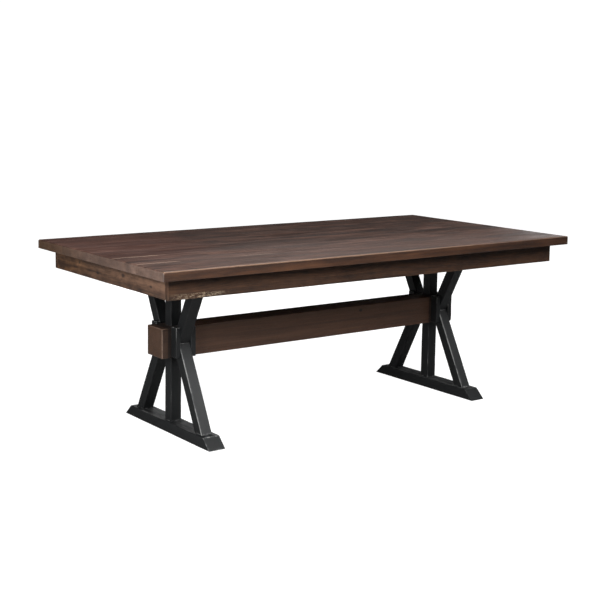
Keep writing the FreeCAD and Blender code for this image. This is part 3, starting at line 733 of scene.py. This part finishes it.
# the long edges of the top are dressed smooth and show the stain's own colour; they are painted darker towards the
# right, a painted shade for the light falling off along them
M_EDGE = wood("top_edge_wood", (0.0150, 0.0053, 0.0019), (0.0340, 0.0125, 0.0046), (0.0550, 0.0220, 0.0088),
              (0.124, 0.065, 0.036), rough=(0.5, 0.68), spec=0.25, mottle=0.3, fade=(-0.75, 0.75, (0.72, 0.69, 0.63)),
              **TOP_KW)
APRON_KW = dict(rough=(0.48, 0.68), wear_mm=0.9)
M_APRON = wood("apron_wood", (0.0120, 0.0048, 0.0020), (0.0340, 0.0145, 0.0062), (0.0610, 0.0285, 0.0125), (0.13, 0.074, 0.044),
               ring_mm=3.8, contrast=1.3, mottle=1.1, spec=0.28, **APRON_KW)
M_APRON_F = wood("front_apron_wood", (0.0108, 0.0041, 0.0016), (0.0300, 0.0122, 0.0049), (0.0537, 0.0235, 0.0100),
                 (0.13, 0.074, 0.044), ring_mm=3.8, contrast=1.1, mottle=1.0, broad=0.7, spec=0.25,
                 speckle=(-0.995, -0.800, (0.648, 0.671), (0.40, 0.305, 0.205)), **APRON_KW)
M_APRON_L = wood("left_apron_wood", (0.0153, 0.0066, 0.0033), (0.0502, 0.0246, 0.0134), (0.0969, 0.0506, 0.0296),
                 (0.13, 0.074, 0.044), ring_mm=4.0, contrast=1.1, mottle=1.5, broad=1.2, ring_k=0.12, spec=0.40,
                 # painted light: the left apron's outer face turns lighter and redder towards the back
                 painted_face_light=((0, (0.98, 0.98, 0.98), 0.0),), painted_back_shading=(0.02, 0.42, (1.65, 1.54, 1.1)),
                 knots=((0.246, 0.012, 0.007), (0.083, -0.010, 0.008), (-0.132, 0.008, 0.010), (-0.352, -0.006, 0.007)),
                 **APRON_KW)
M_STR = wood("stretcher_wood", (0.0230, 0.0101, 0.0052), (0.0607, 0.0277, 0.0148), (0.1000, 0.0487, 0.0275),
             (0.165, 0.108, 0.078), ring_mm=4.2, contrast=0.75, rough=(0.45, 0.62), spec=0.37, wear_mm=2.0,
             knots=((0.235, 0.040, 0.008),), end_dark=(0.062, (0.62, 0.68, 0.74)),
             # painted light: end faces lightened by their face tint, and a painted shadow strip beside each hub
             painted_face_light=((0, (1.28, 1.24, 1.14), 0.2),), wear_noise=(1.2, 1.0, 0.5), hub_shadow=0.27)
M_IN_X = wood("inner_wood_x", (0.07, 0.045, 0.03), (0.13, 0.085, 0.055), (0.2, 0.14, 0.095), (0.3, 0.2, 0.14), coords="X",
              rough=(0.6, 0.75), spec=0.2)
M_IN_Y = wood("inner_wood_y", (0.07, 0.045, 0.03), (0.13, 0.085, 0.055), (0.2, 0.14, 0.095), (0.3, 0.2, 0.14), coords="Y",
              rough=(0.6, 0.75), spec=0.2, rnd_const=(0.7, 0.2, 0.6))
M_IN_Z = wood("inner_wood_z", (0.07, 0.045, 0.03), (0.13, 0.085, 0.055), (0.2, 0.14, 0.095), (0.3, 0.2, 0.14), coords="Z",
              rough=(0.6, 0.75), spec=0.2, rnd_const=(0.5, 0.9, 0.5))
M_DOWEL = wood("dowel_wood", (0.3, 0.2, 0.12), (0.42, 0.3, 0.19), (0.55, 0.42, 0.28), (0.6, 0.5, 0.4), coords="Z",
               rough=(0.6, 0.75), spec=0.2)
M_BLACK = paint("black_paint")
M_STEEL = steel("screw_steel")
M_GLIDE = plain("glide", (0.02, 0.02, 0.02), (0.04, 0.04, 0.042), 400.0, 0.5)


# ------------------------------------------------------------------ plank top
def round_slab(p, seed):
    """Rounds the whole top's outline: upright corners, top arris, bottom arris. p is (x, y, z), mm."""
    x, y, z = p.T.copy()
    sx, sy = np.sign(x), np.sign(y)
    dx, dy = HX - np.abs(x), HY - np.abs(y)
    dx, dy = round2(dx, dy, CORNER_R)
    x, y = sx * (HX - dx), sy * (HY - dy)
    # inward distance and outward direction from the rounded outline
    qx, qy = np.maximum(np.abs(x) - (HX - CORNER_R), 0), np.maximum(np.abs(y) - (HY - CORNER_R), 0)
    h = np.hypot(qx, qy)
    cx = np.where((qx > 0) & (qy > 0), qx / np.maximum(h, 1e-9), np.where(dx < dy, 1.0, 0.0)) * sx
    cy = np.where((qx > 0) & (qy > 0), qy / np.maximum(h, 1e-9), np.where(dx < dy, 0.0, 1.0)) * sy
    d = np.where((qx > 0) & (qy > 0), CORNER_R - h, np.minimum(dx, dy))
    n = noise3(p, (90, 90, 90), seed)
    n2 = noise3(p, (24, 24, 24), seed + 1)
    rt = ARRIS_TOP * (0.86 + 0.14 * n + 0.06 * n2)
    d1, t1 = round2(d, TOP_Z - z, rt)
    rb = ARRIS_BOT * (0.9 + 0.2 * n2)
    d2, t2 = round2(d1, z - UNDER, rb)
    z = np.where(TOP_Z - z <= z - UNDER, TOP_Z - t1, UNDER + t2)
    move = d2 - d
    return np.stack([x - cx * move, y - cy * move, z], 1)


TONES = [0.86, 0.74, 0.80, 0.44, 0.54, 0.26, 0.38, 0.28]
for i in range(8):
    y0, y1 = SEAMS[i], SEAMS[i + 1]
    node = "top_plank_%d" % (i + 1)
    bd = Board.__new__(Board)
    bd.name, bd.node = node + "_board", node
    yc, A, B, S = (y0 + y1) / 2, (y1 - y0) / 2, TOP_T / 2, HX
    # width axis is +Y, depth axis +Z, length axis +X
    bd.o = np.array([0.0, yc, (UNDER + TOP_Z) / 2])
    bd.U, bd.W, bd.L = np.array([0, 1.0, 0]), np.array([0, 0, 1.0]), np.array([1.0, 0, 0])
    bd.A, bd.B, bd.S = A, B, S
    bd.lo, bd.hi = (lambda a, b: -HX + 0 * a), (lambda a, b: HX + 0 * a)
    bd.seed = 300 + 17 * i
    first, last = i == 0, i == 7
    rl, rh = (9.3 if first else 1.6), (9.3 if last else 1.6)
    near_in = (0.6, 1.3, 2.1, 4.1)
    out_a = ([-A + t for t in near_in] if first else []) + ([A - t for t in near_in] if last else [])
    ga = samples(-A, A, 26.0, rl, rh, 4, add=out_a)
    zs = [B - t for t in (1.6, 3.0, 4.4, 5.9, 7.3, 9.0, 11.0)] + [-B + t for t in (0.8, 1.7, 2.7, 4.0)]
    gb = samples(-B, B, 10.0, 1.6, 1.6, 2, zs)
    gs = samples(-S, S, 15.0, 9.3, 9.3, 4, add=[-S + t for t in near_in] + [S - t for t in near_in])
    p, quads = shell(ga, gb, gs)
    a, b, s = p.T.copy()
    loc = p.copy()
    fa, fb, fs = np.isclose(np.abs(a), A), np.isclose(np.abs(b), B), np.isclose(np.abs(s), S)
    # worn little V at each glue line
    seam_r = 1.05 * (1 + 0.35 * noise3(loc + [[0, 0, 0]], (50, 50, 110), bd.seed)
                     + 0.25 * noise3(loc, (20, 20, 30), bd.seed + 2))
    side_is_seam = np.where(a < 0, not first, not last)
    da, db = A - np.abs(a), B - np.abs(b)
    ra, rb = round2(da, db, np.clip(seam_r, 0.4, 1.6))
    da, db = np.where(side_is_seam, ra, da), np.where(side_is_seam, rb, db)
    db = db + np.where(fb, 0.16 * (0.5 + 0.5 * noise3(loc, (90, 60, 240), bd.seed + 5)), 0)
    a, b = np.sign(a) * (A - da), np.sign(b) * (B - db)
    q = np.stack([s, a + yc, b + (UNDER + TOP_Z) / 2], 1)
    ds = np.where(fs, 0.25 * (0.5 + 0.5 * noise3(loc, (40, 14, 40), bd.seed + 8)), 0)
    q[:, 0] -= np.sign(s) * ds
    q = round_slab(q, 77)
    bd.object = mesh_object(bd.name, q * MM, quads)

    def outer(pt):
        dx, dy = HX - np.abs(pt[:, 0]), HY - np.abs(pt[:, 1])
        up = pt[:, 2] > 759.5
        end = dx < dy
        # long top arrises rubbed through, most of all over the left half; ends only near the corners. The pale line is
        # partly wear and partly a painted highlight on the arris, fading to the right as the light falls off
        along = 1.0 - 0.42 * soft(pt[:, 0], -250.0, 820.0)
        ends = 0.10 + 0.75 * soft(np.abs(pt[:, 1]), 485.0, 528.0)
        return np.where(up, np.where(end, ends, along), 0.10)
    bd.wear = 1.0
    bd.attributes(TONES[i], outer)
    ob = bd.done("top_wood", M_TOP)
    if first or last:
        ob.data.materials.append(M_EDGE)
        side = -1.0 if first else 1.0
        for poly in ob.data.polygons:
            if poly.normal.y * side > 0.80:
                poly.material_index = 1

# ------------------------------------------------------------------ aprons
X, Y, Z = (1, 0, 0), (0, 1, 0), (0, 0, 1)
zc, hb = (APRON_Z + UNDER) / 2, (UNDER - APRON_Z) / 2
for sy, node, mat in ((-1, "front_apron", M_APRON_F), (1, "back_apron", M_APRON)):
    Board(node + "_board", node, (0, sy * (AY - APRON_T / 2), zc), Z, Y, X, hb, APRON_T / 2, -AX, AX,
          r=1.8, re=1.5, step=16, rough=0.3, worn=0.4, dents=14).attributes(0.5).done("apron_wood", mat)
for sx, node, mat in ((-1, "left_end_apron", M_APRON_L), (1, "right_end_apron", M_APRON)):
    Board(node + "_board", node, (sx * (AX - APRON_T / 2), 0, zc), Z, X, Y, hb, APRON_T / 2,
          -(AY - APRON_T), AY - APRON_T, r=1.8, re=0.5, step=16, rough=0.3, worn=0.4,
          dents=8).attributes(0.55).done("apron_wood", mat)

# ------------------------------------------------------------------ stretcher
Board("stretcher_beam", "stretcher", (0, 0, (STR_Z0 + STR_Z1) / 2), Z, Y, X, (STR_Z1 - STR_Z0) / 2, STR_HALF_W,
      -STR_HALF_L, STR_HALF_L, r=3.0, re=5.0, step=16, rough=0.35, worn=0.3, dents=10,
      seg=3).attributes(0.5, lambda pt: np.where(np.abs(pt[:, 0]) > 780.0, 1.35, 0.6)).done("stretcher_wood", M_STR)

# ------------------------------------------------------------------ trestles
for sx, side in ((-1, "left"), (1, "right")):
    xc = sx * TX

    # foot beam, slanted at both ends, bored from below for its lag screws and glides
    def foot_end(sign):
        return lambda a, b: sign * (347.0 - (b + 22.5) * (347.0 - 298.0) / 45.0)
    ft = Board("%s_foot_beam" % side, "%s_foot" % side, (xc, 0, 24.0), X, Z, Y, FOOT_HALF, 22.5, -347, 347,
               r=2.2, re=2.2, step=13, lo=foot_end(-1), hi=foot_end(1), dents=10, wide=20, wear=0.6)
    cut(ft, [((xc, y), 8.0, -6.0, 14.0) for y in (0.0, -230.0, 230.0)]
        + [((xc, y), 15.1, -6.0, 5.0) for y in (-300.0, 300.0)])
    # the arrises of the sloping ends are knocked about more than the long ones
    k_end = 1.0 if sx < 0 else 0.1
    ft.attributes(0.5, lambda pt, k=k_end: 0.45 + k * soft(np.abs(pt[:, 1]), 286.0, 298.0)).done("black_paint", M_BLACK)

    # posts
    Board("%s_lower_post_timber" % side, "%s_lower_post" % side, (xc, 0, 0), X, Y, Z, POST_H, POST_H, FOOT_TOP, STR_Z0,
          r=2.2, re=0.6, dents=5, wear=0.6).attributes(0.5).done("black_paint", M_BLACK)
    Board("%s_upper_post_timber" % side, "%s_upper_post" % side, (xc, 0, 0), X, Y, Z, POST_H, POST_H, STR_Z1, BEARER_Z,
          r=2.2, re=0.6, dents=5, wear=0.3).attributes(0.5).done("black_paint", M_BLACK)

    # braces
    c = COSL
    y_mid = KINK_Y - BRACE_D / c / 2
    for up in (False, True):
        z_end = BEARER_Z if up else FOOT_TOP
        word = "upper" if up else "lower"
        sz = 1 if up else -1
        for sy, end in ((-1, "front"), (1, "back")):
            # length axis runs from the hub outwards, depth axis points out of the trestle
            L = (0, sy * LEAN * c, sz * c)
            W = (0, sy * c, -sz * LEAN * c)
            far = abs(z_end - KINK_Z) / c

            def hub_end(a, b, c=c, y_mid=y_mid):
                # level cut at the kink, plumb cut against the stretcher
                level = LEAN * b
                plumb = (STR_HALF_W - y_mid - b * c) / (LEAN * c)
                return np.maximum(level, plumb)

            def out_end(a, b, far=far):
                return far + LEAN * b
            bd = Board("%s_%s_brace_%s_timber" % (side, word, end), "%s_%s_brace_%s" % (side, word, end),
                       (xc, sy * y_mid, KINK_Z), X, W, L, BRACE_W / 2, BRACE_D / 2, -0.0, far, r=2.2, re=0.5,
                       lo=None, hi=None, extra_b=(c * (STR_HALF_W - y_mid),), dents=7,
                       wear=0.3 if up else (1.35 if end == "front" else 0.3))
            # ends as planes measured from the middle of the length
            mid = far / 2
            bd.lo = lambda a, b, f=hub_end, m=mid: f(a, b) - m
            bd.hi = lambda a, b, f=out_end, m=mid: f(a, b) - m
            # rebuild the mesh with the true ends
            me = bd.object.data
            co = np.zeros(len(me.vertices) * 3, np.float32)
            me.vertices.foreach_get("co", co)
            q = co.reshape(-1, 3) / MM - bd.o
            p = np.stack([q @ bd.U, q @ bd.W, q @ bd.L], 1)
            me.vertices.foreach_set("co", (bd.world(p) * MM).astype(np.float32).ravel())
            me.update()
            rubbed = None
            if end == "front" and not up:
                # the outer arris towards the table's left end is rubbed most; its pale line is partly worn paint and
                # partly a painted highlight
                def rubbed(pt, xc=xc):
                    deep = pt[:, 1] + KINK_Y + LEAN * (KINK_Z - pt[:, 2])
                    return np.where((pt[:, 0] < xc) & (deep < 20.0), 2.1, 0.45)
            bd.attributes(0.5, rubbed).done("black_paint", M_BLACK)

    # hub cheeks
    for cx, lay in ((-1, "outer" if sx < 0 else "inner"), (1, "inner" if sx < 0 else "outer")):
        for sy, end in ((-1, "front"), (1, "back")):
            t = CHEEK_T[lay]
            Board("%s_hub_cheek_%s_%s_block" % (side, end, lay), "%s_hub_cheek_%s_%s" % (side, end, lay),
                  (xc + cx * (BRACE_W + t) / 2, sy * (STR_HALF_W + CHEEK_W / 2), 0), X, Y, Z,
                  t / 2, CHEEK_W / 2, CHEEK_Z0, CHEEK_Z1, r=1.8, re=1.6, step=12,
                  dents=4).attributes(0.5, lambda pt: 0.28 + 0.5 * soft(pt[:, 2], 375.0, 430.0)
                                      ).done("black_paint", M_BLACK)

# ------------------------------------------------------------------ CAD nodes that stay
def dress(names, material):
    for n in names:
        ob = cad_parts[n]
        ob.data.materials.clear()
        ob.data.materials.append(material)


dress(["front_apron_cleat", "back_apron_cleat"], M_IN_X)
dress(["left_bearer", "right_bearer", "centre_batten", "left_end_cleat", "right_end_cleat"], M_IN_Y)
dress(["corner_block_front_left", "corner_block_front_right", "corner_block_back_left", "corner_block_back_right"],
      M_IN_Z)
dress(["bearer_screws", "batten_screws", "cleat_screws", "corner_block_screws", "foot_lag_screws",
       "bearer_lag_screws"], M_STEEL)
dress(["hub_dowels", "stretcher_dowels"], M_DOWEL)
dress(["floor_glides"], M_GLIDE)


# ------------------------------------------------------------------ stage
def area(name, loc, target, size, power, color=(1, 1, 1), camera=False):
    li = bpy.data.lights.new(name, "AREA")
    li.shape = "RECTANGLE"
    li.size, li.size_y = size
    li.energy = power
    li.color = color
    ob = bpy.data.objects.new(name, li)
    SCN.collection.objects.link(ob)
    ob.location = loc
    ob.rotation_mode = "QUATERNION"
    ob.rotation_quaternion = (Vector(target) - Vector(loc)).to_track_quat("-Z", "Y")
    ob.visible_camera = camera
    return ob


def make_stage():
    me = bpy.data.meshes.new("floor")
    r = 40.0
    me.from_pydata([(-r, -r, 0), (r, -r, 0), (r, r, 0), (-r, r, 0)], [], [(0, 1, 2, 3)])
    fl = bpy.data.objects.new("floor", me)
    SCN.collection.objects.link(fl)
    mat = bpy.data.materials.new("floor")
    mat.use_nodes = True
    t = mat.node_tree
    t.nodes.clear()
    out = t.nodes.new("ShaderNodeOutputMaterial")
    add = t.nodes.new("ShaderNodeAddShader")
    em = t.nodes.new("ShaderNodeEmission")
    # a white sweep: it fades to pure white away from the table, so no horizon shows
    tc = t.nodes.new("ShaderNodeTexCoord")
    ln = t.nodes.new("ShaderNodeVectorMath")
    ln.operation = "LENGTH"
    t.links.new(tc.outputs["Object"], ln.inputs[0])
    fade = t.nodes.new("ShaderNodeMapRange")
    fade.interpolation_type = "SMOOTHSTEP"
    for key, value in (("From Min", 1.0), ("From Max", 2.6), ("To Min", 0.95), ("To Max", 1.06)):
        fade.inputs[key].default_value = value
    t.links.new(ln.outputs["Value"], fade.inputs["Value"])
    t.links.new(fade.outputs[0], em.inputs["Strength"])
    df = t.nodes.new("ShaderNodeBsdfDiffuse")
    df.inputs["Color"].default_value = (0.3, 0.3, 0.3, 1)
    t.links.new(em.outputs[0], add.inputs[0])
    t.links.new(df.outputs[0], add.inputs[1])
    # the sheet is lit white for the picture and bounces a softer light onto the table
    lp = t.nodes.new("ShaderNodeLightPath")
    mx = t.nodes.new("ShaderNodeMixShader")
    t.links.new(lp.outputs["Is Camera Ray"], mx.inputs[0])
    t.links.new(df.outputs[0], mx.inputs[1])
    t.links.new(add.outputs[0], mx.inputs[2])
    t.links.new(mx.outputs[0], out.inputs[0])
    me.materials.append(mat)

    w = bpy.data.worlds.new("studio")
    SCN.world = w
    w.use_nodes = True
    t = w.node_tree
    t.nodes.clear()
    out = t.nodes.new("ShaderNodeOutputWorld")
    seen = t.nodes.new("ShaderNodeBackground")
    seen.inputs["Color"].default_value = (1, 1, 1, 1)
    seen.inputs["Strength"].default_value = 1.05
    lit = t.nodes.new("ShaderNodeBackground")
    lit.inputs["Color"].default_value = (0.98, 0.99, 1.0, 1)
    lit.inputs["Strength"].default_value = 0.006
    lp = t.nodes.new("ShaderNodeLightPath")
    mx = t.nodes.new("ShaderNodeMixShader")
    t.links.new(lp.outputs["Is Camera Ray"], mx.inputs[0])
    t.links.new(lit.outputs[0], mx.inputs[1])
    t.links.new(seen.outputs[0], mx.inputs[2])
    t.links.new(mx.outputs[0], out.inputs[0])

    for name, loc, target, size, power in LIGHTS:
        area(name, loc, target, size, power)
    SCN.view_settings.view_transform = "Standard"
    SCN.view_settings.look = "None"


LIGHTS = [
    ("overhead", (0, -0.55, 3.2), (0, -0.3, 0), (3.2, 2.4), 92.0),
    ("overhead_back", (0.3, 1.2, 2.9), (0, 0.3, 0), (3.0, 1.0), 4.0),
    ("front", (0.6, -3.0, 2.7), (0.2, 0, 0.5), (2.4, 1.2), 114.0),
    ("front_right", (3.2, -2.4, 2.3), (0.3, 0, 0.5), (1.6, 1.2), 19.5),
    ("front_near", (-0.9, -1.9, 1.5), (-0.6, 0, 0.7), (1.2, 0.6), 29.0),
    ("left", (-2.4, -0.7, 1.2), (-0.8, -0.1, 1.1), (0.9, 0.9), 53.5),
    ("left_high", (-2.8, -0.6, 2.6), (-0.7, 0, 0.6), (1.2, 1.2), 5.0),
    ("left_back", (-3.4, 3.0, 1.2), (-0.6, 0, 0.6), (1.8, 1.4), 6.5),
    ("right_back", (5.1, 2.4, 1.35), (1.0, -0.4, 0.77), (1.7, 0.9), 16.5),
    # two strips below the height of the top fill the sides that face away from the camera
    ("back_low", (1.2, 3.4, 0.30), (0.1, 0, 0.36), (2.6, 0.26), 26.0),
    ("right_low", (3.8, 0.9, 0.30), (0.5, 0, 0.36), (1.6, 0.26), 13.0),
]
make_stage()
